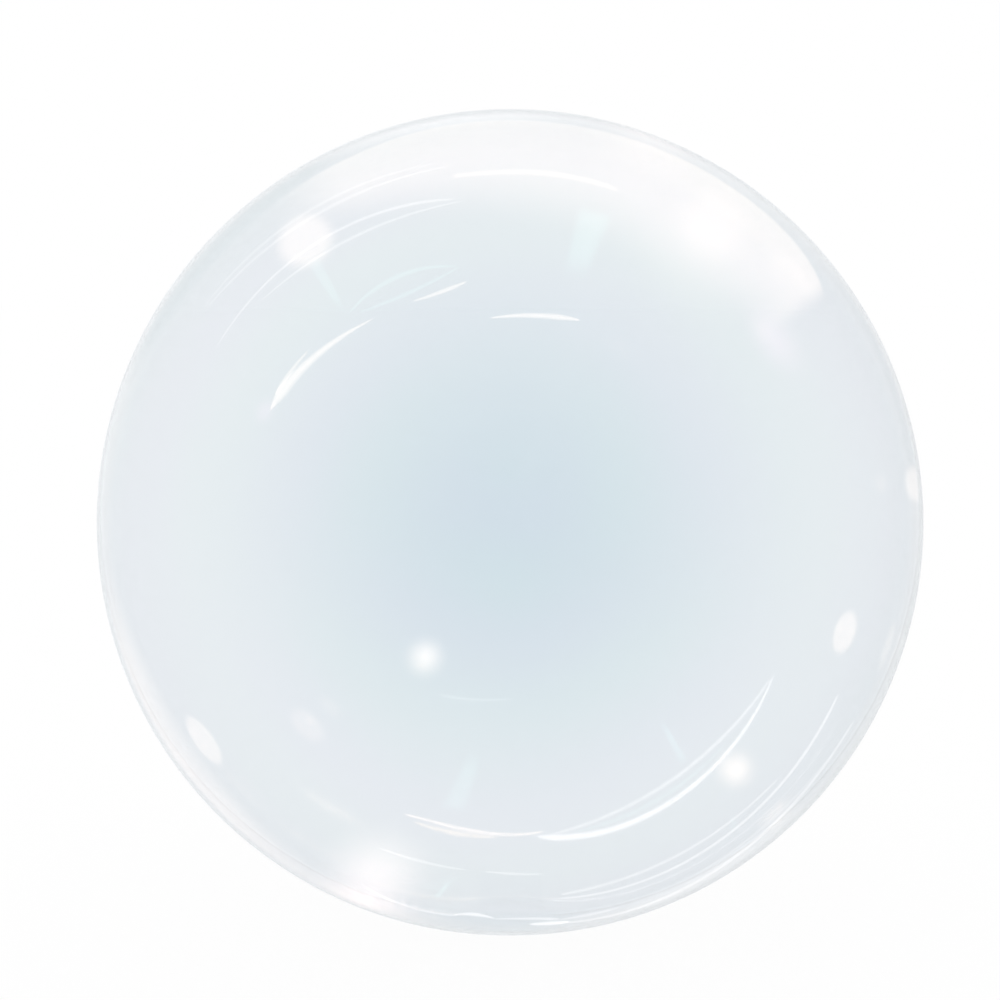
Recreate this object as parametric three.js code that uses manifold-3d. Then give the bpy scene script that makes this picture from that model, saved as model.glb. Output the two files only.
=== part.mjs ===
// A clear bubble balloon: one sealed, inflated envelope of stretched film.
//
// Two discs of film are welded to each other round their edge and blown up until the film
// stretches into a ball. The weld stays on the ball as a low ridge, a full circle that
// faces front and back. At its lowest point the two discs run on into a flat filling neck,
// which is folded to the back under the ball and lies on the ground.
//
// Millimetres, +Z up, the front looks along -Y. The origin is the middle of the flat spot
// that the ball rests on. A sealed balloon is closed all round, so it is modelled solid.

import * as THREE from "three";
import { mergeVertices } from "three/addons/utils/BufferGeometryUtils.js";
import Module from "manifold-3d";

// ---- Driving dimensions ----

const BALL_RADIUS = 250; // inflated size, measured on the film
const FLAT_SPOT_DEPTH = 3; // how far the film is pressed in where it rests
const ROUND_SEGMENTS = 72; // sides of the ball, round its front-to-back axis
const PANEL_STEPS = 18; // rows of facets from the middle of a panel out to its weld

const WELD_HEIGHT = 0.9; // the ridge that the weld leaves on the ball
const WELD_WIDTH = 3;

const NECK_WIDTH = 33; // the open passage of the neck, lying flat
const NECK_WELD_WIDTH = 3; // the sealed strip on each side of it
const NECK_THICKNESS = 1.6;
const NECK_WELD_THICKNESS = 0.8;
const NECK_TIP_Y = 100; // where the neck is cut off, behind the resting point
const NECK_CORNER_RADIUS = 2.5;
const NECK_FLARE_LENGTH = 24; // how far out the neck is still widening into the panels
const NECK_FLARE_WIDTH = 12; // how much wider it is at its root, on each side

const FILM_COLOUR = 0xe3edf2;

// ---- Lengths that follow from them ----

const BALL_CENTRE_Z = BALL_RADIUS - FLAT_SPOT_DEPTH;
const FLAT_SPOT_RADIUS = Math.sqrt(BALL_RADIUS ** 2 - BALL_CENTRE_Z ** 2);
const NECK_ROOT_Y = 0.6 * FLAT_SPOT_RADIUS; // inside the ball, so that the two join
const BELOW_GROUND = 2; // spare depth that the cut at ground level takes off

// ---- Joining and cutting closed meshes ----

const wasm = await Module();
wasm.setup();

function solidFrom(geometry) {
  const bare = geometry.clone();
  bare.deleteAttribute("normal");
  bare.deleteAttribute("uv");
  const closed = mergeVertices(bare);
  return new wasm.Manifold(
    new wasm.Mesh({
      numProp: 3,
      vertProperties: closed.getAttribute("position").array,
      triVerts: new Uint32Array(closed.index.array),
    }),
  );
}

function geometryFrom(solid) {
  const mesh = solid.getMesh();
  const geometry = new THREE.BufferGeometry();
  geometry.setAttribute("position", new THREE.BufferAttribute(mesh.vertProperties, 3));
  geometry.setIndex(new THREE.BufferAttribute(mesh.triVerts, 1));
  geometry.computeVertexNormals();
  return geometry;
}

// ---- The two panels and their weld ----

// Half outline of the ball, from the middle of the front panel over the weld to the middle
// of the back panel: distance from the axis, and place along the axis. The angle is zero at
// the front and half a turn at the back.
function panelOutline() {
  const weldHalfAngle = WELD_WIDTH / 2 / BALL_RADIUS;
  const onBall = (angle, height) =>
    new THREE.Vector2(
      (BALL_RADIUS + height) * Math.sin(angle),
      -(BALL_RADIUS + height) * Math.cos(angle),
    );

  const outline = [new THREE.Vector2(0, -BALL_RADIUS)];
  for (let step = 1; step < PANEL_STEPS; step++) {
    outline.push(onBall((step / PANEL_STEPS) * (Math.PI / 2), 0));
  }
  outline.push(onBall(Math.PI / 2 - weldHalfAngle, 0));
  outline.push(onBall(Math.PI / 2, WELD_HEIGHT));
  outline.push(onBall(Math.PI / 2 + weldHalfAngle, 0));
  for (let step = 1; step < PANEL_STEPS; step++) {
    outline.push(onBall((1 + step / PANEL_STEPS) * (Math.PI / 2), 0));
  }
  outline.push(new THREE.Vector2(0, BALL_RADIUS));
  return outline;
}

// The outline turned round the front-to-back axis, lifted so that the ball rests on the
// ground with its flat spot's depth below it.
function weldedBall() {
  const ball = new THREE.LatheGeometry(panelOutline(), ROUND_SEGMENTS);
  ball.translate(0, 0, BALL_CENTRE_Z);
  return solidFrom(ball);
}

// ---- The filling neck ----

// Plan of the neck, or of its wider sealed layer: a straight strip with rounded corners at
// the cut end, which opens out in a curve where it runs into the panels.
function neckPlan(width) {
  const half = width / 2;
  const flareEndY = NECK_ROOT_Y + NECK_FLARE_LENGTH;
  const cornerY = NECK_TIP_Y - NECK_CORNER_RADIUS;
  const cornerX = half - NECK_CORNER_RADIUS;

  const plan = new THREE.Shape();
  plan.moveTo(-half - NECK_FLARE_WIDTH, NECK_ROOT_Y);
  plan.lineTo(half + NECK_FLARE_WIDTH, NECK_ROOT_Y);
  plan.quadraticCurveTo(half, NECK_ROOT_Y, half, flareEndY);
  plan.lineTo(half, cornerY);
  plan.absarc(cornerX, cornerY, NECK_CORNER_RADIUS, 0, Math.PI / 2, false);
  plan.absarc(-cornerX, cornerY, NECK_CORNER_RADIUS, Math.PI / 2, Math.PI, false);
  plan.lineTo(-half, flareEndY);
  plan.quadraticCurveTo(-half, NECK_ROOT_Y, -half - NECK_FLARE_WIDTH, NECK_ROOT_Y);
  return plan;
}

function neckLayer(width, thickness) {
  const layer = new THREE.ExtrudeGeometry(neckPlan(width), {
    depth: thickness + BELOW_GROUND,
    bevelEnabled: false,
    curveSegments: 8,
  });
  layer.translate(0, 0, -BELOW_GROUND);
  return solidFrom(layer);
}

// The sealed strips show as a thinner border on both sides of the passage.
function fillingNeck() {
  const passage = neckLayer(NECK_WIDTH, NECK_THICKNESS);
  const sealed = neckLayer(NECK_WIDTH + 2 * NECK_WELD_WIDTH, NECK_WELD_THICKNESS);
  return passage.add(sealed);
}

// ---- The whole envelope, cut level where it rests ----

function groundBlock() {
  const side = 4 * BALL_RADIUS;
  const block = new THREE.BoxGeometry(side, side, side);
  block.translate(0, 0, -side / 2);
  return solidFrom(block);
}

function bubbleEnvelope() {
  const envelope = weldedBall().add(fillingNeck()).subtract(groundBlock());
  const film = new THREE.MeshStandardMaterial({
    color: FILM_COLOUR,
    roughness: 0.05,
    metalness: 0,
    transparent: true,
    opacity: 0.35,
  });
  const mesh = new THREE.Mesh(geometryFrom(envelope), film);
  mesh.name = "bubble_envelope";
  return mesh;
}

const balloon = new THREE.Group();
balloon.add(bubbleEnvelope());

export default balloon;
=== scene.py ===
# %% [markdown]
# # A clear bubble balloon
# A bubble balloon is two discs of clear, stretchy film welded to each other round their edge.
# Air stretches the film until the flat bag becomes a ball. What stays visible is the low ridge
# of the weld, fine puckers where the film is gathered into the filling neck, and the flat neck
# itself, folded to the back under the ball. Everything else is light: a clear film is seen by
# its faint tint, by what it reflects, and by the pale ring where the eye looks along it.
#
# The lesson builds the film as a real thin wall and the neck as a flat sheet, gives both a
# clear plastic material, and then hangs soft lamps so that their mirror images land on the
# film where they should.

# %% Load the model's frame
import math
import bpy
import numpy as np
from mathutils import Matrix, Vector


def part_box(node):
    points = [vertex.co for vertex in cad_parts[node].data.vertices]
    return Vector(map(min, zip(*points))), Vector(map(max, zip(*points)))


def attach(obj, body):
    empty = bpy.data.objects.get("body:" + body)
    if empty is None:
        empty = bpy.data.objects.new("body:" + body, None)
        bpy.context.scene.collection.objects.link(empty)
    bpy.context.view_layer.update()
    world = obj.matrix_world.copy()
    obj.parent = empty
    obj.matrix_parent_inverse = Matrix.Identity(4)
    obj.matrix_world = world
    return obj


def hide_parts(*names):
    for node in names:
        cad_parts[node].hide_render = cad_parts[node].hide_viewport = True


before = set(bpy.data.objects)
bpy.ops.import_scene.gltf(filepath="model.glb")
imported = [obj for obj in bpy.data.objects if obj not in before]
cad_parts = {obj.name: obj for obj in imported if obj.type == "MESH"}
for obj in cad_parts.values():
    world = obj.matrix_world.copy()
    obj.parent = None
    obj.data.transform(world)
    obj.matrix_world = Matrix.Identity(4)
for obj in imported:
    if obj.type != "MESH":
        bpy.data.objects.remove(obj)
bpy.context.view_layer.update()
box_low, box_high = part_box("bubble_envelope")
print("frame box in metres:", [round(c, 4) for c in box_low], [round(c, 4) for c in box_high])

# %% [markdown]
# ## Sizes
# All sizes come from the frame's box. Front to back the ball has no ridge, so half that depth
# is its radius. Left to right the weld's ridge stands proud, so the difference between the two
# is the ridge's height. The ball's centre is one radius and one ridge below its top. The
# fine sizes of film and neck are chosen as such balloons usually have them.

# %% Sizes of the ball, its weld and its neck
MM = 0.001
BALL_RADIUS = (box_high[1] - box_low[1]) / 2
WELD_HEIGHT = (box_high[0] - box_low[0]) / 2 - BALL_RADIUS
CENTRE_Z = box_high[2] - BALL_RADIUS - WELD_HEIGHT
CENTRE = np.array([0.0, 0.0, CENTRE_Z])

FILM_THICKNESS = 0.12 * MM
NECK_PASSAGE_HALF = 16.5 * MM
NECK_WELD_WIDTH = 3 * MM
NECK_HALF_WIDTH = NECK_PASSAGE_HALF + NECK_WELD_WIDTH
NECK_THICKNESS = 0.35 * MM
print(f"ball radius {BALL_RADIUS:.4f} m, centre {CENTRE_Z:.4f} m up, weld ridge {WELD_HEIGHT:.4f} m")

# %% [markdown]
# ## Points on the ball
# Two angles name a point of the film. The first runs from the middle of the front panel (zero)
# over the weld (a quarter turn) to the middle of the back panel (half a turn). The second is a
# clock angle, seen from the front: zero on the right, a quarter turn at the top. Both panels
# then meet at the weld along one grid line, so the ridge and its puckers are easy to shape.
#
# The grid is crowded round the weld and round the resting point, where the fine forms are. An
# even grid would spend most of its faces on bare film.

# %% A crowded row of angles
DENSITY_STEPS = 8000


def crowded(count, start, end, centre, crowds):
    """Angles from start to end, closer together near a centre. The density is one plus, for
    each crowd, its strength times a bell curve of its spread about the centre; the angles are
    the places where its running total grows by equal steps."""
    fine = np.linspace(start, end, DENSITY_STEPS + 1)
    density = 1 + sum(k * np.exp(-(((fine - centre) / spread) ** 2)) for k, spread in crowds)
    total = np.concatenate([[0], np.cumsum((density[1:] + density[:-1]) / 2)])
    return np.interp(np.linspace(0, total[-1], count), total, fine)


PANEL_STEPS = 132
CLOCK_STEPS = 364
WELD = math.pi / 2
BOTTOM = -math.pi / 2
PANEL_CROWDS = ((4.0, 0.12), (26.0, 0.016))
CLOCK_CROWDS = ((6.0, 0.22),)
panel_angles = crowded(PANEL_STEPS + 1, 0, math.pi, WELD, PANEL_CROWDS)[1:-1]
clock_angles = crowded(CLOCK_STEPS + 1, BOTTOM - math.pi, BOTTOM + math.pi, BOTTOM, CLOCK_CROWDS)[:-1]
print("film grid:", len(panel_angles), "by", len(clock_angles), "points and two poles")

# %% [markdown]
# ## The form of the film
# Blown up tight, the bag is very nearly a ball, with the ridge of its weld all round. The film
# has to gather towards the neck, so short puckers cross the weld there and fade up the sides.
# Below, the ball sags a little and its own weight flattens a small spot. A cloth simulation
# could find all this, but each part of it is a plain term of one formula, which is quick to
# tune and comes out the same each time.

# %% Floor and bell curves
def smooth_floor(height, floor, softness):
    """A height that can't sink below a floor: softness times log(1 + e^(gap / softness)),
    added to the floor, which rounds the film off into its flat spot."""
    return floor + softness * np.logaddexp(0, (height - floor) / softness)


def bell(distance, width):
    """One in the middle, falling off as a bell curve."""
    return np.exp(-((distance / width) ** 2))


print("half a bell's width out it is down to", round(float(bell(0.5, 1)), 2))

# %% Ridge and puckers
WELD_WIDTH = 2.6 * MM
RIDGE_PART = 0.24
PUCKER_HEIGHT = 0.2 * MM
PUCKER_LENGTH = 9 * MM
PUCKER_SPREAD = 80 * MM
PUCKERS_ROUND = 150
DRIFT = 1.7
DRIFTS_ROUND = 31
STRAY_PART = 0.5
STRAY_START = 2
STRAYS_ROUND = 233


def film_radius(panel, clock):
    """The ball's radius, plus a bell-shaped ridge over the weld, plus puckers: sine waves
    round the clock, pushed to and fro by a slower wave and with a few stray ones added, so
    that no two are alike. They die away on both sides of the weld and up from the neck."""
    from_weld = BALL_RADIUS * (panel - WELD)
    from_neck = BALL_RADIUS * np.abs(clock - BOTTOM)
    ridge = RIDGE_PART * WELD_HEIGHT * bell(from_weld, WELD_WIDTH)
    drift = DRIFT * np.sin(clock * DRIFTS_ROUND)
    strays = STRAY_PART * np.sin(clock * STRAYS_ROUND + STRAY_START)
    waves = np.sin(clock * PUCKERS_ROUND + drift) + strays
    gathered = bell(from_neck, PUCKER_SPREAD)
    puckers = PUCKER_HEIGHT * gathered * waves * np.exp(-np.abs(from_weld) / PUCKER_LENGTH)
    return BALL_RADIUS + ridge + puckers


print("ridge height", round(RIDGE_PART * WELD_HEIGHT / MM, 2), "mm")

# %% The film at rest
REST_HEIGHT = 0.3 * MM
REST_SOFTNESS = 0.3 * MM
SAG = 2.4 * MM
SAG_WIDTH = 58 * MM
NECK_CLEARANCE = 0.1 * MM
RISE_LENGTH = 7 * MM
RISE_SHARPNESS = 4


def film_points(panel, clock):
    """Places on the outside of the film: a point at its radius and two angles, pushed up by a
    bell-shaped sag low down, and then pressed flat at its resting height. That height rises
    smoothly by the neck's thickness where the neck lies below."""
    radius = film_radius(panel, clock)
    x = radius * np.sin(panel) * np.cos(clock)
    y = -radius * np.cos(panel)
    z = CENTRE_Z + radius * np.sin(panel) * np.sin(clock)
    z = z + SAG * bell(np.hypot(x, y), SAG_WIDTH) * (z < CENTRE_Z)
    across = 1 / (1 + (x / NECK_HALF_WIDTH) ** RISE_SHARPNESS)
    behind = 1 / (1 + np.exp(-y / RISE_LENGTH))
    resting = REST_HEIGHT + (NECK_THICKNESS + NECK_CLEARANCE) * across * behind
    z = smooth_floor(z, resting, REST_SOFTNESS)
    return np.stack([x, y, z], axis=-1)


print("film rests at", round(float(film_points(WELD, BOTTOM)[2]) / MM, 2), "mm")

# %% [markdown]
# ## From a grid to a mesh
# Whole rows of points go into the mesh at once. The grid closes on itself round the clock, and
# one point closes each pole with a ring of triangles, so the film has no hole anywhere.

# %% Meshes from grids of points
def mesh_object(name, points, faces, smooth=True):
    """A mesh object at the origin, from an array of points and a list of faces."""
    mesh = bpy.data.meshes.new(name)
    mesh.from_pydata(points.reshape(-1, 3).tolist(), [], faces)
    mesh.validate()
    mesh.polygons.foreach_set("use_smooth", np.full(len(mesh.polygons), smooth))
    piece = bpy.data.objects.new(name, mesh)
    bpy.context.scene.collection.objects.link(piece)
    return piece


def ring_faces(rings, around):
    """Four-sided faces between neighbouring rings of points, wrapping round each ring."""
    ring = np.arange(rings - 1)[:, None] * around
    step = np.arange(around)[None, :]
    after = (step + 1) % around
    quads = np.stack([ring + step, ring + after, ring + around + after, ring + around + step], -1)
    return quads.reshape(-1, 4).tolist()


def pole_faces(pole, ring_start, around, turned):
    """A fan of triangles from a pole to its ring."""
    step = ring_start + np.arange(around)
    after = ring_start + (np.arange(around) + 1) % around
    pair = (after, step) if turned else (step, after)
    return np.stack([np.full(around, pole), *pair], -1).tolist()


print("a ring of four points joined to the next:", ring_faces(2, 4))

# %% The film as a double wall
def film_ball():
    """The film: grid points between two poles, with a wall of even thickness inwards."""
    panel, clock = np.meshgrid(panel_angles, clock_angles, indexing="ij")
    grid = film_points(panel, clock).reshape(-1, 3)
    poles = film_points(np.array([0, math.pi]), np.zeros(2))
    around = len(clock_angles)
    front, back = len(grid), len(grid) + 1
    last_ring = len(grid) - around
    faces = ring_faces(len(panel_angles), around)
    faces += pole_faces(front, 0, around, True)
    faces += pole_faces(back, last_ring, around, False)
    film = mesh_object("bubble_film", np.concatenate([grid, poles]), faces)
    wall = film.modifiers.new("wall", "SOLIDIFY")
    wall.thickness = FILM_THICKNESS
    wall.offset = -1
    return film


film = film_ball()
print("bubble_film:", len(film.data.polygons), "faces on one side of the wall")

# %% [markdown]
# ## The filling neck
# The neck is where the air goes in: two tails of the same films, welded to each other along
# both sides. Once the ball is full they are pressed together and folded to the back, half
# under the ball. It could be a flat tube, but films that cling to each other look like one,
# and light dies between four walls that lie so close. So it is one closed flat sheet. Its
# cross-section is a flat lens with a thin brim, carried along the ground from the resting
# point to the cut end, and it opens out in pleats where it meets the ball.
#
# The sheet is shaded flat. Normals smoothed round the sharp edge of the cut end would let in
# light that can't get out again, which shows as a thin dark line.

# %% Cross-section of the neck
NECK_ROOT_Y = 1 * MM
NECK_TIP_Y = 100 * MM
GROUND_GAP = 0.05 * MM
FLARE = 0.55
FLARE_LENGTH = 9 * MM
SIDE_THICKNESS = 0.15 * MM
SIDE_SHARPNESS = 14
LEAST_OPENING = 0.3
PLEAT_HEIGHT = 0.05 * MM
PLEAT_SPACING = 1.6 * MM
PLEAT_LENGTH = 28 * MM
SWELL_HEIGHT = 0.03 * MM
SWELL_LENGTH = 9 * MM
SWELL_SPACING = 7 * MM
CUT_THINNING = 0.92
CUT_SHARPNESS = 30


def neck_points(along, turn):
    """Places on the neck's outside. Along it the width eases from a flared, pleated root to a
    straight strip. Round it, a cosine gives the side-to-side place; the underside is level,
    and the upper side is as high as the sheet is thick there: full over the air passage,
    where it is rounded like a lens, and thin over the welded sides. A slow swell keeps the
    strip from looking like sheet metal, and a high power thins it at its cut end."""
    y = NECK_ROOT_Y + (NECK_TIP_Y - NECK_ROOT_Y) * along
    widening = 1 + FLARE * np.exp(-y / FLARE_LENGTH)
    half_width = NECK_HALF_WIDTH * widening
    x = half_width * np.cos(turn)
    passage = 1 / (1 + (np.abs(x) / (NECK_PASSAGE_HALF * widening)) ** SIDE_SHARPNESS)
    lens = np.sqrt(np.clip(1 - (x / half_width) ** 2, 0, 1))
    opening = LEAST_OPENING + (1 - LEAST_OPENING) * lens
    pleats = PLEAT_HEIGHT * np.cos(x / PLEAT_SPACING) * np.exp(-y / PLEAT_LENGTH)
    swell = SWELL_HEIGHT * np.sin(y / SWELL_LENGTH) * np.cos(x / SWELL_SPACING)
    room = NECK_THICKNESS - SIDE_THICKNESS - PLEAT_HEIGHT - SWELL_HEIGHT
    thickness = SIDE_THICKNESS + room * passage * opening + (pleats + swell) * passage
    cut = 1 - CUT_THINNING * along ** CUT_SHARPNESS
    z = GROUND_GAP + np.where(np.sin(turn) >= 0, thickness * cut, 0.0)
    return np.stack([x, y, z], axis=-1)


print("neck", round(2 * NECK_HALF_WIDTH / MM, 1), "mm wide, its cut end at y", NECK_TIP_Y, "m")

# %% The neck as one closed flat sheet
NECK_ROWS = 120
NECK_AROUND = 96


def filling_neck():
    """Rings of points along the neck, closed by a pole at its root and one at its cut end."""
    along = np.linspace(0, 1, NECK_ROWS)
    turn = np.linspace(0, 2 * math.pi, NECK_AROUND, endpoint=False) + math.pi / NECK_AROUND
    row, column = np.meshgrid(along, turn, indexing="ij")
    grid = neck_points(row, column).reshape(-1, 3)
    ends = np.stack([grid[:NECK_AROUND].mean(0), grid[-NECK_AROUND:].mean(0)])
    root, tip = len(grid), len(grid) + 1
    faces = ring_faces(NECK_ROWS, NECK_AROUND)
    faces += pole_faces(root, 0, NECK_AROUND, True)
    faces += pole_faces(tip, len(grid) - NECK_AROUND, NECK_AROUND, False)
    return mesh_object("filling_neck", np.concatenate([grid, ends]), faces, smooth=False)


neck = filling_neck()
print("filling_neck:", len(neck.data.polygons), "faces")

# %% [markdown]
# ## Faces outwards
# A shell that is inside out renders almost the same but exports wrongly, so each piece's
# volume is worked out from its triangles. A negative volume means that its faces look inwards,
# and then they are all turned round.

# %% Turn any piece whose faces look inwards
def signed_volume(piece):
    """A sixth of the sum of each triangle's box product."""
    mesh = piece.data
    mesh.calc_loop_triangles()
    corners = np.empty(len(mesh.loop_triangles) * 3, dtype=np.int32)
    mesh.loop_triangles.foreach_get("vertices", corners)
    places = np.empty(len(mesh.vertices) * 3)
    mesh.vertices.foreach_get("co", places)
    a, b, c = places.reshape(-1, 3)[corners.reshape(-1, 3)].transpose(1, 0, 2)
    return float((a * np.cross(b, c)).sum() / 6)


for piece in (film, neck):
    volume = signed_volume(piece)
    if volume < 0:
        piece.data.flip_normals()
    print(piece.name, "holds", round(abs(volume) * 1000, 3), "litres, turned:", volume < 0)

# %% [markdown]
# ## Clear film
# Clear plastic is a Principled shader with all its light let through, a refractive index of
# 1.5 and a low roughness. The wall is really there on both sides, so light bends in and out of
# it again and passes nearly straight, as it does through a bubble, and not as through a lens.
#
# The film isn't quite colourless: seen square on it has a blue-grey cast. The more it is seen
# at a slant, the more it mirrors the bright room at both of its surfaces and the less of its
# own cast is left, so a bubble is palest along its outline, from whichever side it is looked
# at. Layer Weight gives that slant. By it Base Color goes over to paler side and rim tints: a
# painted sheen, on top of the shader's own mirroring, that stands in for the mirrored room.
# Over it lie faint teal and lavender rings, where the film was drawn out thinner and thicker:
# those belong to the film and follow Object coordinates. A node group mixes the two, so the
# film and its neck share it with their own strengths.

# %% Small helpers for shader nodes
def add_node(tree, kind, **settings):
    """Adds a node; plain keys are its properties, and 'inputs' maps socket names to values."""
    node = tree.nodes.new(kind)
    for socket, value in settings.pop("inputs", {}).items():
        node.inputs[socket].default_value = value
    for key, value in settings.items():
        setattr(node, key, value)
    return node


def maths(tree, operation, first, second=0.0):
    """A Math node; each of the two values is a number or a socket to link."""
    node = add_node(tree, "ShaderNodeMath", operation=operation)
    for slot, value in enumerate((first, second)):
        if isinstance(value, (int, float)):
            node.inputs[slot].default_value = value
        else:
            tree.links.new(value, node.inputs[slot])
    return node.outputs[0]


def mixed(tree, factor, first, second, blend="MIX"):
    """A colour Mix node; factor and colours are values or sockets."""
    node = add_node(tree, "ShaderNodeMix", data_type="RGBA", blend_type=blend)
    for slot, value in ((0, factor), (6, first), (7, second)):
        if isinstance(value, bpy.types.NodeSocket):
            tree.links.new(value, node.inputs[slot])
        else:
            node.inputs[slot].default_value = value
    return node.outputs[2]


# %% Teal and lavender rings
RING_STEP = 0.36
RING_START = 0.33
RING_WARP = 0.34
WARP_SCALE = 4.2
WARP_DETAIL = 1.5


def radii_from_axis(tree, place):
    """Distance from the ball's front-to-back axis, counted in radii of the ball."""
    centred = add_node(tree, "ShaderNodeMapping")
    centred.inputs["Location"].default_value = (0, 0, -CENTRE_Z)
    tree.links.new(place, centred.inputs["Vector"])
    flat = add_node(tree, "ShaderNodeVectorMath", operation="MULTIPLY")
    flat.inputs[1].default_value = (1 / BALL_RADIUS, 0, 1 / BALL_RADIUS)
    tree.links.new(centred.outputs[0], flat.inputs[0])
    length = add_node(tree, "ShaderNodeVectorMath", operation="LENGTH")
    tree.links.new(flat.outputs[0], length.inputs[0])
    return length.outputs["Value"]


def teal_part(tree, place):
    """From zero where a ring is lavender to one where it is teal: half of one plus the cosine
    of the distance from the axis, which a soft noise pushes to and fro."""
    inputs = {"Scale": WARP_SCALE, "Detail": WARP_DETAIL}
    noise = add_node(tree, "ShaderNodeTexNoise", inputs=inputs)
    tree.links.new(place, noise.inputs["Vector"])
    push = maths(tree, "MULTIPLY", noise.outputs["Fac"], RING_WARP)
    pushed = maths(tree, "ADD", radii_from_axis(tree, place), push)
    turned = maths(tree, "SUBTRACT", pushed, RING_START + RING_WARP / 2)
    wave = maths(tree, "COSINE", maths(tree, "MULTIPLY", turned, 2 * math.pi / RING_STEP))
    return maths(tree, "MULTIPLY", maths(tree, "ADD", wave, 1.0), 0.5)


print("a teal ring every", RING_STEP, "radii")

# %% The film's tint and painted sheen as a node group
SIDE_SLANTS = (0.0, 0.85)
RIM_SLANTS = (0.955, 1.0)


def film_tint_group():
    """Tint of the film, with painted sheen. The slant at which it is seen leads from the middle
    colour over the side colour to the rim colour, which are paler: a painted sheen for the
    bright room that the film mirrors at a slant. The teal and lavender rings are laid over it."""
    group = bpy.data.node_groups.new("film_tint", "ShaderNodeTree")
    sockets = group.interface
    for name in ("Middle", "Side", "Rim", "Teal", "Lavender"):
        sockets.new_socket(name, in_out="INPUT", socket_type="NodeSocketColor")
    for name in ("Slant", "Sheen"):
        sockets.new_socket(name, in_out="INPUT", socket_type="NodeSocketFloat")
    sockets.new_socket("Tint", in_out="OUTPUT", socket_type="NodeSocketColor")
    given = group.nodes.new("NodeGroupInput").outputs
    result = group.nodes.new("NodeGroupOutput").inputs

    tint = given["Middle"]
    for shade, (start, end) in (("Side", SIDE_SLANTS), ("Rim", RIM_SLANTS)):
        towards = add_node(group, "ShaderNodeMapRange", interpolation_type="SMOOTHSTEP")
        towards.inputs["From Min"].default_value = start
        towards.inputs["From Max"].default_value = end
        group.links.new(given["Slant"], towards.inputs["Value"])
        tint = mixed(group, towards.outputs[0], tint, given[shade])

    place = add_node(group, "ShaderNodeTexCoord").outputs["Object"]
    sheen = mixed(group, teal_part(group, place), given["Lavender"], given["Teal"])
    group.links.new(mixed(group, given["Sheen"], tint, sheen, "MULTIPLY"), result["Tint"])
    return group


tint_group = film_tint_group()
print("node group:", tint_group.name)

# %% The slant at which the film is seen
def slant_of_sight(tree, index):
    """Sine of the slant at which light meets the film. Layer Weight's Facing is one less the
    cosine, and the sine's square is one less the cosine's square. A back face is met from
    inside the wall, where light runs straighter, and the index times that sine is the sine
    outside it."""
    facing = add_node(tree, "ShaderNodeLayerWeight", inputs={"Blend": 0.5}).outputs["Facing"]
    cosine = maths(tree, "SUBTRACT", 1.0, facing)
    square = maths(tree, "SUBTRACT", 1.0, maths(tree, "MULTIPLY", cosine, cosine))
    inside = add_node(tree, "ShaderNodeNewGeometry").outputs["Backfacing"]
    bending = maths(tree, "ADD", maths(tree, "MULTIPLY", inside, index ** 2 - 1), 1.0)
    outside = maths(tree, "MINIMUM", maths(tree, "MULTIPLY", square, bending), 1.0)
    return maths(tree, "SQRT", outside)


# %% Clear film material
FILM_INDEX = 1.5
NECK_INDEX = 1.03
FILM_MIDDLE = (0.807, 0.873, 0.908)
# The side and rim tints are the film's cast lightened by painted sheen, for the bright room mirrored
# at a slant.
FILM_SIDE_TINT_AND_SHEEN = (0.902, 0.930, 0.946)
FILM_RIM_TINT_AND_SHEEN = (0.97, 0.98, 0.985)
NECK_TINT = (0.988, 0.992, 0.995)
TEAL_RING = (0.985, 1.0, 0.988)
LAVENDER_RING = (0.998, 0.976, 1.0)


def clear_film(name, tints, sheen, roughness, index):
    """Clear plastic with the shared tint on Base Color and plain values on all else. The
    three tints are those of the middle, the sides and the rim; the paler side and rim tints
    carry painted sheen."""
    material = bpy.data.materials.new(name)
    material.use_nodes = True
    tree = material.node_tree
    shader = tree.nodes["Principled BSDF"]
    tint = add_node(tree, "ShaderNodeGroup", node_tree=tint_group)
    sockets = ("Middle", "Side", "Rim", "Teal", "Lavender")
    for socket, colour in zip(sockets, (*tints, TEAL_RING, LAVENDER_RING)):
        tint.inputs[socket].default_value = (*colour, 1)
    tint.inputs["Sheen"].default_value = sheen
    tree.links.new(slant_of_sight(tree, index), tint.inputs["Slant"])
    tree.links.new(tint.outputs["Tint"], shader.inputs["Base Color"])
    shader.inputs["Metallic"].default_value = 0.0
    shader.inputs["Roughness"].default_value = roughness
    shader.inputs["IOR"].default_value = index
    shader.inputs["Transmission Weight"].default_value = 1.0
    return material


film_look = clear_film("clear_film", (FILM_MIDDLE, FILM_SIDE_TINT_AND_SHEEN, FILM_RIM_TINT_AND_SHEEN),
                       sheen=0.35, roughness=0.02, index=FILM_INDEX)
neck_look = clear_film("clear_neck_film", (NECK_TINT, NECK_TINT, NECK_TINT),
                       sheen=0.2, roughness=0.03, index=NECK_INDEX)
film.data.materials.append(film_look)
neck.data.materials.append(neck_look)
print("materials:", film_look.name, "and", neck_look.name)

# %% The pieces ride on the model's only body
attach(film, "root")
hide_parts("bubble_envelope")
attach(neck, "root")
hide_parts("bubble_envelope")
print("film and neck ride on root and stand for the solid envelope")

# %% [markdown]
# ## Camera
# A long lens from a little above, as goods are shown in a catalogue. Its distance is such that
# the ball's outline fills the chosen share of the frame: the outline is where sight lines graze
# the ball, so the sine of their slant is the radius over the distance. A small shift of the
# lens sets the ball low in the frame and a little to the right.

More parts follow.
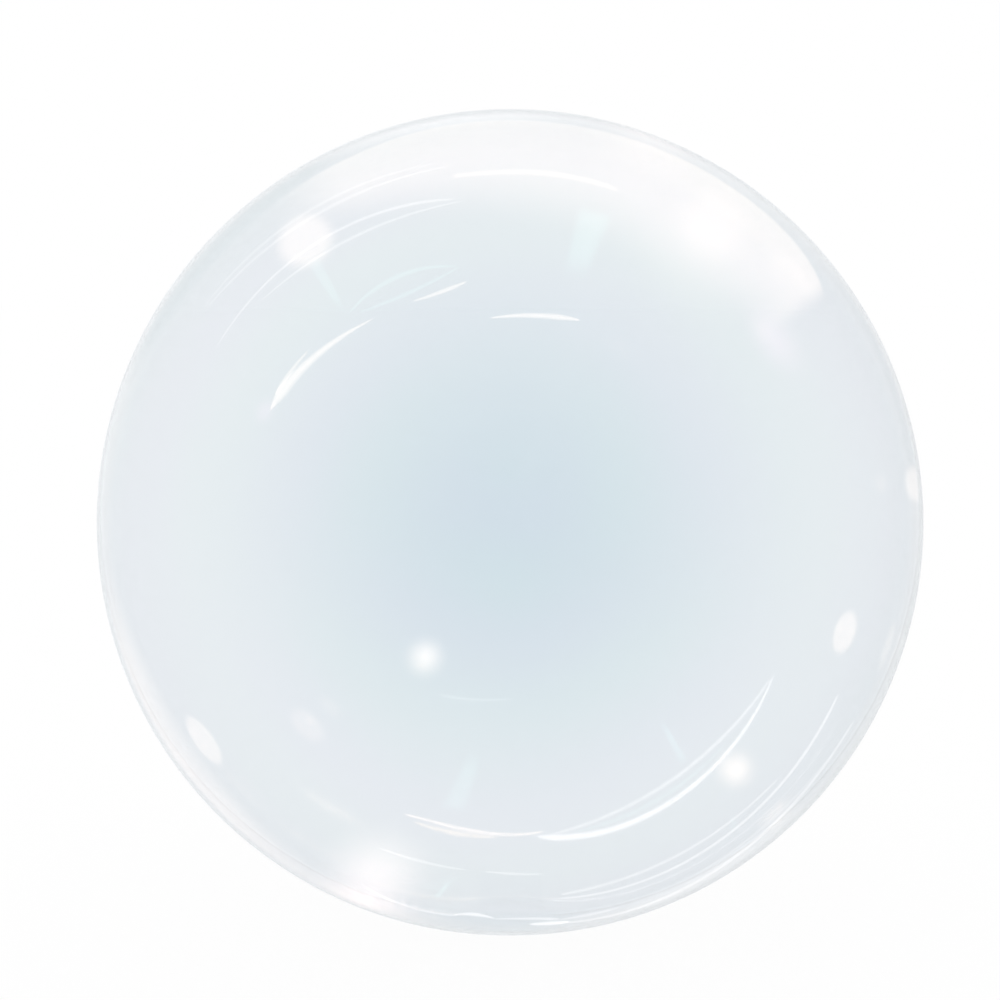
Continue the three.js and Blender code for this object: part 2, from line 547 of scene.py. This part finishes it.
# %% A long lens, a little above the ball
LENS_MM = 100
SENSOR_MM = 36
OUTLINE_SHARE = 0.827
CAMERA_LIFT = math.radians(8)
SHIFT_X = -0.0101
SHIFT_Y = 0.0229
outline_slant = math.atan(OUTLINE_SHARE * SENSOR_MM / 2 / LENS_MM)
camera_distance = BALL_RADIUS / math.sin(outline_slant)
to_camera = np.array([0, -math.cos(CAMERA_LIFT), math.sin(CAMERA_LIFT)])
camera_place = CENTRE + camera_distance * to_camera
image_right = np.array([1.0, 0.0, 0.0])
image_up = np.cross(to_camera, image_right)

camera_data = bpy.data.cameras.new("camera")
camera_data.lens = LENS_MM
camera_data.sensor_width = SENSOR_MM
camera_data.shift_x = SHIFT_X
camera_data.shift_y = SHIFT_Y
camera = bpy.data.objects.new("camera", camera_data)
camera.location = camera_place
camera.rotation_euler = (math.pi / 2 - CAMERA_LIFT, 0, 0)
bpy.context.scene.collection.objects.link(camera)
bpy.context.scene.camera = camera
print(f"camera {camera_distance:.3f} m from the ball's centre")

# %% [markdown]
# ## White surroundings
# A clear thing on white is mostly white: the eye sees the background through it. So whatever
# is seen straight, or straight through the film, is plain white. What the film reflects is
# another matter: a studio is bright round the subject and darker behind the camera, and this
# is what draws a bubble's soft gradient from a grey-blue middle to a pale rim. The count of
# glossy bounces on a ray's way tells the world which of the two is asked for.

# %% Which paths have been mirrored
NONE_OR_ONE = 0.5


def reflected_only(tree):
    """One on a path that has mirrored off the film at least once, zero on any other."""
    path = add_node(tree, "ShaderNodeLightPath")
    return maths(tree, "GREATER_THAN", path.outputs["Glossy Depth"], NONE_OR_ONE)


# %% World: white to look at, graded in reflections
# From behind the camera (zero) to behind the ball (one), the shade of the studio there.
STUDIO_SHADES = {
    0.0: (0.80, 0.80, 0.80), 0.22: (0.86, 0.86, 0.86), 0.50: (0.93, 0.92, 0.92),
    0.78: (0.91, 0.91, 0.915), 0.86: (0.88, 0.885, 0.895), 0.92: (0.875, 0.885, 0.90),
    0.96: (0.97, 0.99, 1.01), 1.0: (1.01, 1.04, 1.06)}
STUDIO_LEAN = (-0.12, 0, 0.09)


def graded_world():
    """White for straight rays; for mirrored ones a ramp from behind the camera, over the
    sides, to behind the ball, a little brighter above and on the left."""
    world = bpy.data.worlds.new("studio")
    world.use_nodes = True
    tree = world.node_tree
    background = tree.nodes["Background"]
    direction = add_node(tree, "ShaderNodeTexCoord").outputs["Generated"]
    onwards = add_node(tree, "ShaderNodeVectorMath", operation="DOT_PRODUCT")
    onwards.inputs[1].default_value = -to_camera
    tree.links.new(direction, onwards.inputs[0])
    halved = maths(tree, "MULTIPLY", onwards.outputs["Value"], 0.5)
    depth = maths(tree, "ADD", halved, 0.5)
    ramp = add_node(tree, "ShaderNodeValToRGB")
    tree.links.new(depth, ramp.inputs["Fac"])
    stops = ramp.color_ramp.elements
    stops.remove(stops[1])
    for position, shade in STUDIO_SHADES.items():
        stop = stops.new(position) if position > 0 else stops[0]
        stop.color = (*shade, 1)
    lean = add_node(tree, "ShaderNodeVectorMath", operation="DOT_PRODUCT")
    lean.inputs[1].default_value = STUDIO_LEAN
    tree.links.new(direction, lean.inputs[0])
    lift = maths(tree, "ADD", lean.outputs["Value"], 1.0)
    brighter = add_node(tree, "ShaderNodeVectorMath", operation="SCALE")
    tree.links.new(ramp.outputs["Color"], brighter.inputs[0])
    tree.links.new(lift, brighter.inputs["Scale"])
    seen = mixed(tree, reflected_only(tree), (1, 1, 1, 1), brighter.outputs[0])
    tree.links.new(seen, background.inputs["Color"])
    return world


bpy.context.scene.world = graded_world()
bpy.context.scene.world.cycles.sampling_method = "NONE"
bpy.context.scene.view_settings.view_transform = "Standard"
print("world:", bpy.context.scene.world.name)

# %% [markdown]
# ## Floor
# A plain white floor that glows a little, as a lit table does, so that it meets the white
# surroundings without a horizon, and still takes a faint shadow where the ball rests. It is
# clear to mirrored light: the film then mirrors one smooth studio, with no horizon across it.

# %% Lit white floor
FLOOR_HALF_SIDE = 6.0
FLOOR_DROP = 0.2 * MM
FLOOR_GLOW = 0.97
FLOOR_BOUNCE = 0.03


def lit_floor():
    """A square under everything; most of its light is its own glow, the rest is bounced."""
    corners = np.array([[-1, -1, 0], [1, -1, 0], [1, 1, 0], [-1, 1, 0]]) * FLOOR_HALF_SIDE
    floor = mesh_object("floor", corners - [0, 0, FLOOR_DROP], [[0, 1, 2, 3]])
    material = bpy.data.materials.new("lit_white_floor")
    material.use_nodes = True
    tree = material.node_tree
    shader = tree.nodes["Principled BSDF"]
    shader.inputs["Base Color"].default_value = (FLOOR_BOUNCE, FLOOR_BOUNCE, FLOOR_BOUNCE, 1)
    shader.inputs["Roughness"].default_value = 0.9
    shader.inputs["Specular IOR Level"].default_value = 0.0
    shader.inputs["Emission Color"].default_value = (1, 1, 1, 1)
    shader.inputs["Emission Strength"].default_value = FLOOR_GLOW
    clear = add_node(tree, "ShaderNodeBsdfTransparent")
    choice = add_node(tree, "ShaderNodeMixShader")
    tree.links.new(reflected_only(tree), choice.inputs[0])
    tree.links.new(shader.outputs[0], choice.inputs[1])
    tree.links.new(clear.outputs[0], choice.inputs[2])
    tree.links.new(choice.outputs[0], tree.nodes["Material Output"].inputs["Surface"])
    material.cycles.emission_sampling = "NONE"
    floor.data.materials.append(material)
    return floor


floor = lit_floor()
print("floor", 2 * FLOOR_HALF_SIDE, "m wide")

# %% [markdown]
# ## Lamps by the mirror rule
# A highlight is a picture of a lamp. To put one at a chosen place on the film, follow the
# sight line from the camera to that place, turn it about the film's normal as a mirror does,
# and hang the lamp along the turned line. The front film is a bulging mirror and the back
# film, seen through the front one, is a hollow mirror, so the same rule with the far point of
# the ball gives the soft lights that seem to float low inside a bubble.
#
# Each lamp is a glowing sheet whose corners are all found that way, so a round spot, a long
# thin arc or a broad crescent is drawn where it appears and hung where it must be. It adds
# its light to what is behind it and hides nothing, and it works on mirrored paths only. A
# grey card is the same kind of sheet, but takes light away from what is behind it. Every
# sheet hangs a little farther out than the one before it, so that two never lie in the same
# surface, where a renderer can't tell which comes first.

# %% Where a lamp has to hang
LAMP_DISTANCE = 2.4
LAMP_GAP = 0.01
OUTERMOST = 0.995
TINY = 1e-9


def sight_lines(across, up):
    """Directions from the camera to apparent places, given in outline radii right of and
    above the ball's centre. The tangent of the slant grows in step with the place."""
    share = np.hypot(across, up)
    slant = np.arctan(share * math.tan(outline_slant))
    side = np.divide([across, up], np.maximum(share, TINY))
    sideways = side[0][..., None] * image_right + side[1][..., None] * image_up
    return np.sin(slant)[..., None] * sideways - np.cos(slant)[..., None] * to_camera, slant


def lamp_places(across, up, wall, distance):
    """Mirror places for apparent places on the front or the back film: the sight line meets
    the ball at its near or far point, is mirrored in the radius there, and is followed until
    it is the given distance from the ball's centre."""
    line, slant = sight_lines(across, up)
    middle = camera_distance * np.cos(slant)
    half_chord = np.sqrt(np.maximum(BALL_RADIUS ** 2 - (camera_distance * np.sin(slant)) ** 2, 0))
    reach = middle - half_chord if wall == "front" else middle + half_chord
    from_centre = camera_place + reach[..., None] * line - CENTRE
    normal = from_centre / BALL_RADIUS
    mirrored = line - 2 * (line * normal).sum(-1, keepdims=True) * normal
    along = (from_centre * mirrored).sum(-1)
    run = -along + np.sqrt(along ** 2 + distance ** 2 - BALL_RADIUS ** 2)
    return CENTRE + from_centre + run[..., None] * mirrored


print("lamps hang", LAMP_DISTANCE, "m from the ball's centre")

# %% [markdown]
# How bright must a lamp be? A film mirrors a few hundredths of the light that meets it square
# on, and nearly all of it at a slant. Fresnel's equations give that share, so each lamp is
# given the brightness that its picture shall add, and its own light is worked out from it.
# Light from the back film also crosses the tinted front film twice.

# %% How much of a lamp the film mirrors
def interface_share(share):
    """Light mirrored at one surface between air and film, both polarisations averaged, where
    the sine of the slant is the share of the outline's radius."""
    sine = np.clip(share, 0, OUTERMOST)
    cosine = np.sqrt(1 - sine ** 2)
    inside = np.sqrt(1 - (sine / FILM_INDEX) ** 2)
    crossed = (cosine - FILM_INDEX * inside) / (cosine + FILM_INDEX * inside)
    parallel = (FILM_INDEX * cosine - inside) / (FILM_INDEX * cosine + inside)
    return (crossed ** 2 + parallel ** 2) / 2


def mirrored_share(share, wall):
    """Light of each colour that a lamp's picture keeps. A film mirrors at both its surfaces,
    the second one seen through the film's tint."""
    one = interface_share(share)
    both = 2 * one / (1 + one)
    # This tint includes the painted sheen of the side colour.
    tint = np.array(FILM_MIDDLE) * (1 - share) + np.array(FILM_SIDE_TINT_AND_SHEEN) * share
    kept = one + (both - one) * tint
    return kept if wall == "front" else kept * ((1 - both) * tint) ** 2


print("mirrored square on:", mirrored_share(0.0, "front").round(3))
print("mirrored near the outline:", mirrored_share(0.95, "front").round(3))

# %% Easing and a sheet's grid
def smooth_step(value):
    """Eases from zero to one as the value does, level at both ends."""
    value = np.clip(value, 0, 1)
    return value * value * (3 - 2 * value)


def sheet_grid(rows, columns, first=-1.0, last=1.0):
    """Two arrays over a sheet: from zero to one along its rows, and from first to last across
    its columns."""
    along = np.linspace(0, 1, rows)
    return np.meshgrid(along, np.linspace(first, last, columns), indexing="ij")


print("a quarter of the way eases to", smooth_step(0.25))

# %% How strong a sheet is on each path
FILM_CROSSINGS = 3


def sheet_material(name, wall):
    """A material with the strength of its sheet: the sheet's glow on mirrored paths, and zero
    on all others. Light from the front film has crossed two of its surfaces at most, and light
    from the back film four at least, so that count says in which film a sheet may show."""
    material = bpy.data.materials.new(name)
    material.use_nodes = True
    material.cycles.emission_sampling = "NONE"
    tree = material.node_tree
    tree.nodes.remove(tree.nodes["Principled BSDF"])
    path = add_node(tree, "ShaderNodeLightPath").outputs
    undiffused = maths(tree, "LESS_THAN", path["Diffuse Depth"], NONE_OR_ONE)
    order = "LESS_THAN" if wall == "front" else "GREATER_THAN"
    right_film = maths(tree, order, path["Transmission Depth"], FILM_CROSSINGS)
    allowed = maths(tree, "MULTIPLY", reflected_only(tree), undiffused)
    allowed = maths(tree, "MULTIPLY", allowed, right_film)
    glow = add_node(tree, "ShaderNodeAttribute", attribute_name="glow").outputs["Fac"]
    return material, maths(tree, "MULTIPLY", glow, allowed)


# %% Light of a lamp, shade of a card
def lamp_light(name, light, wall):
    """Adds its light to what is behind it."""
    material, power = sheet_material(name, wall)
    tree = material.node_tree
    strength = float(max(light))
    colour = (*(light / strength), 1)
    shine = add_node(tree, "ShaderNodeEmission", inputs={"Color": colour})
    tree.links.new(maths(tree, "MULTIPLY", power, strength), shine.inputs["Strength"])
    both = add_node(tree, "ShaderNodeAddShader")
    tree.links.new(shine.outputs[0], both.inputs[0])
    tree.links.new(add_node(tree, "ShaderNodeBsdfTransparent").outputs[0], both.inputs[1])
    tree.links.new(both.outputs[0], tree.nodes["Material Output"].inputs["Surface"])
    return material


def card_shade(name, light, wall):
    """Takes a part away from what is behind it: a clear sheet, tinted where it works."""
    material, power = sheet_material(name, wall)
    tree = material.node_tree
    left = mixed(tree, power, (1, 1, 1, 1), (*np.clip(1 + light, 0, 1), 1))
    clear = add_node(tree, "ShaderNodeBsdfTransparent")
    tree.links.new(left, clear.inputs["Color"])
    tree.links.new(clear.outputs[0], tree.nodes["Material Output"].inputs["Surface"])
    return material


# %% A sheet from a grid of apparent places
OUTER_FADE = 0.01
GREEN = 1
hung_sheets = []


def lamp(name, across, up, glow, colour, brightness, wall):
    """A sheet of light from two-dimensional arrays of apparent places and glow. Brightness is
    what the lamp's picture adds on the film, in parts of plain white. Below zero the sheet is
    a grey card, whose picture takes light away. The film mirrors more of the sheet towards
    the outline, so the glow is evened out by the share of green light that it keeps there."""
    share = np.hypot(across, up)
    glow = glow * smooth_step((OUTERMOST - share) / OUTER_FADE)
    drawn_in = np.minimum(1, OUTERMOST / np.maximum(share, TINY))
    across = across * drawn_in
    up = up * drawn_in
    points = lamp_places(across, up, wall, LAMP_DISTANCE + LAMP_GAP * len(hung_sheets))
    kept = mirrored_share((share * drawn_in)[..., None], wall)
    rows, columns = across.shape
    corner = np.arange(rows - 1)[:, None] * columns + np.arange(columns - 1)[None, :]
    quads = np.stack([corner, corner + 1, corner + columns + 1, corner + columns], -1)
    sheet = mesh_object(name, points, quads.reshape(-1, 4).tolist())
    typical = np.average(kept.reshape(-1, 3), axis=0, weights=glow.ravel())
    evened = glow * typical[GREEN] / kept[..., GREEN]
    shade = sheet.data.attributes.new("glow", "FLOAT", "POINT")
    shade.data.foreach_set("value", evened.ravel().astype(np.float32))
    light = brightness * np.array(colour) / typical
    look = lamp_light if brightness > 0 else card_shade
    sheet.data.materials.append(look(name, light, wall))
    sheet.visible_camera = False
    sheet.visible_shadow = False
    sheet.visible_diffuse = False
    hung_sheets.append(sheet)
    return sheet


# %% Colours of the lamps and cards
PEARL = (1.0, 0.77, 0.60)
WHITE = (1.0, 0.92, 0.88)
ROSE = (1.0, 0.75, 0.68)
SAND = (1.0, 0.70, 0.40)
LILAC = (1.0, 0.50, 0.75)
TEAL = (0.50, 1.0, 0.88)

# %% Round and oval lamps
SPOT_SOFTNESS = 1.3


def spot(name, share, clock, radial, tangential, brightness, core=0.0, colour=PEARL,
         wall="front"):
    """An oval at a share of the outline's radius and a clock angle in degrees, with half its
    size along and across that radius. It is evenly bright in its core and fades to its rim."""
    rim, turn = sheet_grid(15, 41, 0, 2 * math.pi)
    angle = math.radians(clock)
    outwards = share + radial * rim * np.cos(turn)
    sideways = tangential * rim * np.sin(turn)
    across = outwards * math.cos(angle) - sideways * math.sin(angle)
    up = outwards * math.sin(angle) + sideways * math.cos(angle)
    glow = (1 - smooth_step((rim - core) / (1 - core))) ** SPOT_SOFTNESS
    return lamp(name, across, up, glow, colour, brightness, wall)


# %% Thin arcs
ARC_FADE = 1 / 12


def through(values, along):
    """A smooth curve through evenly spaced values: the one polynomial that meets them all."""
    steps = np.linspace(0, 1, len(values))
    return np.polyval(np.polyfit(steps, values, len(values) - 1), along)


def arc(name, clocks, shares, width, brightness, head=0.5, blunt=0.5, colour=PEARL,
        wall="front"):
    """A thin curved strip between two clock angles in degrees, running through the given
    shares of the outline's radius. Its width is full at the head, counted along it from zero
    to one, and tapers to both ends; the smaller blunt is, the fuller they stay."""
    along, side = sheet_grid(61, 7)
    angle = np.radians(clocks[0] + (clocks[1] - clocks[0]) * along)
    towards = np.where(along < head, along / head, (1 - along) / (1 - head))
    half = width / 2 * np.clip(towards, 0, 1) ** blunt
    share = through(shares, along) + half * side
    glow = (1 - side ** 2) * smooth_step(towards / ARC_FADE)
    return lamp(name, share * np.cos(angle), share * np.sin(angle), glow, colour, brightness, wall)


# %% Broad bands
def band(name, clocks, outer, inner, brightness, edge=0.1, level=0.1, fades=(0.15, 0.15),
         colour=PEARL, wall="front"):
    """A broad band between an outer and an inner curve. Counted inwards, it comes up to full
    light within the edge part of its depth, stays level to the next part, then falls off to
    nothing at its inner side; it fades out over a part of its length at both ends. The outer
    curve may be a function of the clock angle instead of a row of shares."""
    along, depth = sheet_grid(91, 51, 0)
    angle = np.radians(clocks[0] + (clocks[1] - clocks[0]) * along)
    outermost = outer(np.degrees(angle)) if callable(outer) else through(outer, along)
    share = outermost * (1 - depth) + through(inner, along) * depth
    ends = smooth_step(along / fades[0]) * smooth_step((1 - along) / fades[1])
    glow = smooth_step(depth / edge) * (1 - smooth_step((depth - level) / (1 - level))) * ends
    return lamp(name, share * np.cos(angle), share * np.sin(angle), glow, colour, brightness, wall)


# %% Faint shafts
SHAFT_START = 1 / 8
SHAFT_END = 0.4


def shaft(name, clocks, shares, widths, brightness, colour, wall="front"):
    """A faint straight beam that runs in towards the middle: from the first clock angle and
    share to the second, with its width in degrees at both."""
    along, side = sheet_grid(31, 9)
    width = widths[0] + (widths[1] - widths[0]) * along
    angle = np.radians(clocks[0] + (clocks[1] - clocks[0]) * along + side * width / 2)
    share = shares[0] + (shares[1] - shares[0]) * along
    ends = smooth_step(along / SHAFT_START) * smooth_step((1 - along) / SHAFT_END)
    glow = (1 - side ** 4) * ends
    return lamp(name, share * np.cos(angle), share * np.sin(angle), glow, colour, brightness, wall)


# %% [markdown]
# ## Which lamps hang where
# Two windows and a few small lamps make the bright spots; the long arcs are the edges of
# softboxes, doubled because both films and both surfaces of each mirror them; the crescent is
# a broad softbox overhead. The large low lights are in the back film. The high ones are in the
# front film, and so are the fine low lines near the outline. Three grey cards make parts of
# the outline darker, as black card beside a glass does, and pale bands lighten the rest.

# %% Spots
spot("spot_upper_left", 0.843, 126, 0.078, 0.092, 0.16, core=0.5)
spot("spot_upper_right", 0.870, 55.8, 0.12, 0.13, 0.055, core=0.25)
spot("spot_upper_right_halo", 0.77, 55.5, 0.17, 0.26, 0.055)
spot("spot_right_end", 0.905, 42, 0.05, 0.10, 0.03, core=0.3)
spot("spot_right_cloud", 0.78, 34.5, 0.075, 0.14, 0.08, colour=LILAC)
spot("spot_right_cloud_core", 0.765, 37.5, 0.038, 0.062, 0.03)
spot("spot_far_right", 0.982, 5.5, 0.030, 0.058, 0.13, core=0.45)
spot("spot_far_right_echo", 0.902, 6.0, 0.022, 0.034, 0.035, core=0.2)
spot("spot_low_right", 0.808, -47.6, 0.066, 0.068, 0.24, wall="back")
spot("spot_right", 0.852, -18.1, 0.031, 0.064, 0.145, core=0.65, wall="back")
spot("spot_low_left", 0.385, -122.3, 0.068, 0.066, 0.28, wall="back")
spot("spot_left", 0.9085, -144.6, 0.0255, 0.078, 0.135, core=0.75, wall="back")
spot("spot_low_glow", 0.918, -110.1, 0.165, 0.185, 0.215, colour=ROSE, wall="back")
spot("spot_faint_high", 0.693, -135, 0.036, 0.066, 0.055, core=0.5, wall="back")
spot("spot_faint_core", 0.68, -135.2, 0.016, 0.020, 0.07, wall="back")
spot("spot_faint_low", 0.622, -134.5, 0.024, 0.048, 0.032, core=0.3, wall="back")
print("after the spots:", len(hung_sheets), "sheets")

# %% Outer edge of the crescent
EDGE_SHARE = 0.976
RIGHT_DROP = 0.036
RIGHT_CLOCK = 36
RIGHT_SPAN = 5
LEFT_DROP = 0.014
LEFT_CLOCK = 95
LEFT_SPAN = 34


def crescent_edge(clock):
    """A share of the outline's radius for a clock angle in degrees: nearly a circle, drawn in
    along an exponential towards its lower right end and eased in at its upper left end."""
    right_end = RIGHT_DROP * np.exp(-(clock - RIGHT_CLOCK) / RIGHT_SPAN)
    left_end = LEFT_DROP * smooth_step((clock - LEFT_CLOCK) / LEFT_SPAN)
    return EDGE_SHARE - right_end - left_end


print("crescent's edge on top:", round(float(crescent_edge(90)), 3))

# %% Broad bands near the outline
band("crescent", (129, 35), crescent_edge, (0.89, 0.73, 0.69, 0.76), 0.137,
     edge=0.025, level=0.36, fades=(0.16, 0.035))
band("crescent_bright_edge", (80, 35.5), crescent_edge, (0.89, 0.885, 0.89), 0.036,
     edge=0.06, level=0.45, fades=(0.5, 0.05))
band("rim_top", (115, 44), (0.993, 0.993), (0.968, 0.968), 0.04, edge=0.3, level=0.5,
     fades=(0.2, 0.2), colour=WHITE)
band("rim_top_left", (121, 77), (0.994, 0.994), (0.966, 0.966), 0.055, edge=0.1, level=0.6,
     fades=(0.3, 0.35), colour=WHITE)
band("rim_low_left", (250, 184), (0.994, 0.994, 0.994), (0.975, 0.925, 0.965), 0.09,
     edge=0.12, level=0.4, fades=(0.4, 0.3))
band("rim_low_right", (-78, -40), (0.993, 0.993), (0.955, 0.955), 0.06, edge=0.2, level=0.6,
     fades=(0.3, 0.4), colour=WHITE)
print("after the bands:", len(hung_sheets), "sheets")

# %% Arcs in the upper half
arc("arc_top", (100, 71.7), (0.850, 0.849, 0.850, 0.846), 0.018, 0.09, blunt=0.12)
arc("arc_middle", (96.2, 70.8), (0.498, 0.505, 0.519), 0.018, 0.23, head=0.75)
arc("arc_short", (114, 100.2), (0.586, 0.583, 0.593), 0.014, 0.18, head=0.7)
arc("arc_left", (155, 123), (0.641, 0.628, 0.610, 0.594), 0.032, 0.21, head=0.14, blunt=0.8)
arc("arc_left_fork", (151.5, 139.5), (0.647, 0.645, 0.642), 0.014, 0.15, head=0.3)
spot("arc_left_mist", 0.652, 155.5, 0.035, 0.05, 0.06, colour=LILAC)
arc("hair_outer_high", (146, 101), (0.906, 0.898, 0.888), 0.009, 0.055, colour=WHITE)
arc("hair_outer_low", (146, 98.5), (0.900, 0.881, 0.875), 0.010, 0.065, colour=WHITE)
arc("hair_inner_high", (151, 99.5), (0.828, 0.827, 0.818, 0.794), 0.010, 0.11, head=0.88,
    colour=WHITE)
arc("hair_inner_low", (139, 97.5), (0.808, 0.788, 0.787), 0.010, 0.085, colour=WHITE)
arc("loop_high", (128, 101), (0.638, 0.655, 0.632), 0.016, 0.05, colour=TEAL)
arc("loop_low", (126, 101), (0.628, 0.608, 0.632), 0.014, 0.05, colour=TEAL)
print("after the upper arcs:", len(hung_sheets), "sheets")

# %% Arcs in the lower half
arc("arc_low", (-85.5, -28.5), (0.763, 0.783, 0.777, 0.759, 0.733), 0.021, 0.23, head=0.06,
    blunt=0.55, wall="back", colour=WHITE)
arc("arc_low_under", (-83.5, -30), (0.764, 0.741, 0.731, 0.735), 0.012, 0.11, head=0.5,
    blunt=0.2, wall="back", colour=WHITE)
arc("arc_low_fill", (-80, -45), (0.766, 0.760, 0.745), 0.016, 0.03, wall="back", colour=TEAL)
arc("arc_sand", (-108, -92), (0.760, 0.764, 0.764), 0.019, 0.14, wall="back", colour=SAND)
arc("arc_sand_edge", (-110.5, -83.5), (0.751, 0.749, 0.756, 0.752), 0.013, 0.21, head=0.55,
    blunt=0.3, wall="back")
arc("arc_thin_left", (-112.5, -97), (0.847, 0.846), 0.010, 0.09, colour=WHITE)
arc("arc_thin_right", (-94.2, -84.5), (0.845, 0.853), 0.010, 0.10, colour=WHITE)
arc("pair_high", (-85, -27.3), (0.913, 0.924, 0.913, 0.895), 0.009, 0.14, head=0.9, blunt=0.25,
    colour=WHITE)
arc("pair_low", (-82.5, -42), (0.907, 0.900, 0.895), 0.010, 0.10, head=0.1, blunt=0.25,
    colour=WHITE)
arc("seam_left", (-112, -97.5), (0.948, 0.960, 0.957), 0.009, 0.14, head=0.9, blunt=0.3,
    colour=WHITE)
arc("seam_wave", (-98.2, -92.2), (0.958, 0.951, 0.958), 0.012, 0.22, colour=WHITE)
arc("seam_right", (-92.5, -82.8), (0.959, 0.958, 0.966), 0.009, 0.17, head=0.85, colour=WHITE)
arc("seam_blob", (-87.3, -81.5), (0.972, 0.975), 0.013, 0.24, blunt=0.4, colour=WHITE)
arc("seam_line_high", (-84.5, -29), (0.974, 0.980, 0.967, 0.959), 0.009, 0.12, blunt=0.2,
    colour=WHITE)
arc("seam_line_low", (-83, -74), (0.967, 0.967), 0.009, 0.12, colour=WHITE)
arc("seam_line_end", (-62, -36), (0.961, 0.957, 0.957), 0.009, 0.06, colour=WHITE)
arc("hair_low", (-113, -89), (0.450, 0.436, 0.426), 0.011, 0.06, head=0.08, blunt=0.3,
    wall="back", colour=WHITE)
print("after the lower arcs:", len(hung_sheets), "sheets")

# %% Grey cards that draw the outline
band("card_upper_left", (163, 111), (0.994, 0.994), (0.972, 0.946, 0.948, 0.97), -0.065,
     edge=0.05, level=0.3, fades=(0.25, 0.2), colour=ROSE)
band("card_right", (0, 44), (0.994, 0.994), (0.965, 0.965), -0.05, edge=0.1, level=0.4,
     fades=(0.25, 0.35), colour=ROSE)
band("card_low", (-106, -76), (0.994, 0.994), (0.935, 0.935), -0.06, edge=0.1, level=0.5,
     fades=(0.35, 0.4), colour=ROSE)
print("after the grey cards:", len(hung_sheets), "sheets")

# %% Faint shafts of light
shaft("shaft_high", (74.6, 75.5), (0.79, 0.60), (6.8, 5.6), 0.055, TEAL)
shaft("shaft_left", (126.8, 128.3), (0.80, 0.64), (2.8, 1.2), 0.04, TEAL)
shaft("shaft_low", (-101.5, -98.2), (0.715, 0.545), (5.4, 3.2), 0.045, TEAL, wall="back")
shaft("shaft_low_right", (-54, -52.6), (0.72, 0.59), (1.8, 1.3), 0.055, TEAL, wall="back")
shaft("shaft_foot", (-101.2, -99.3), (0.925, 0.872), (1.0, 0.8), 0.05, TEAL)
print("sheets of light and shade in all:", len(hung_sheets))
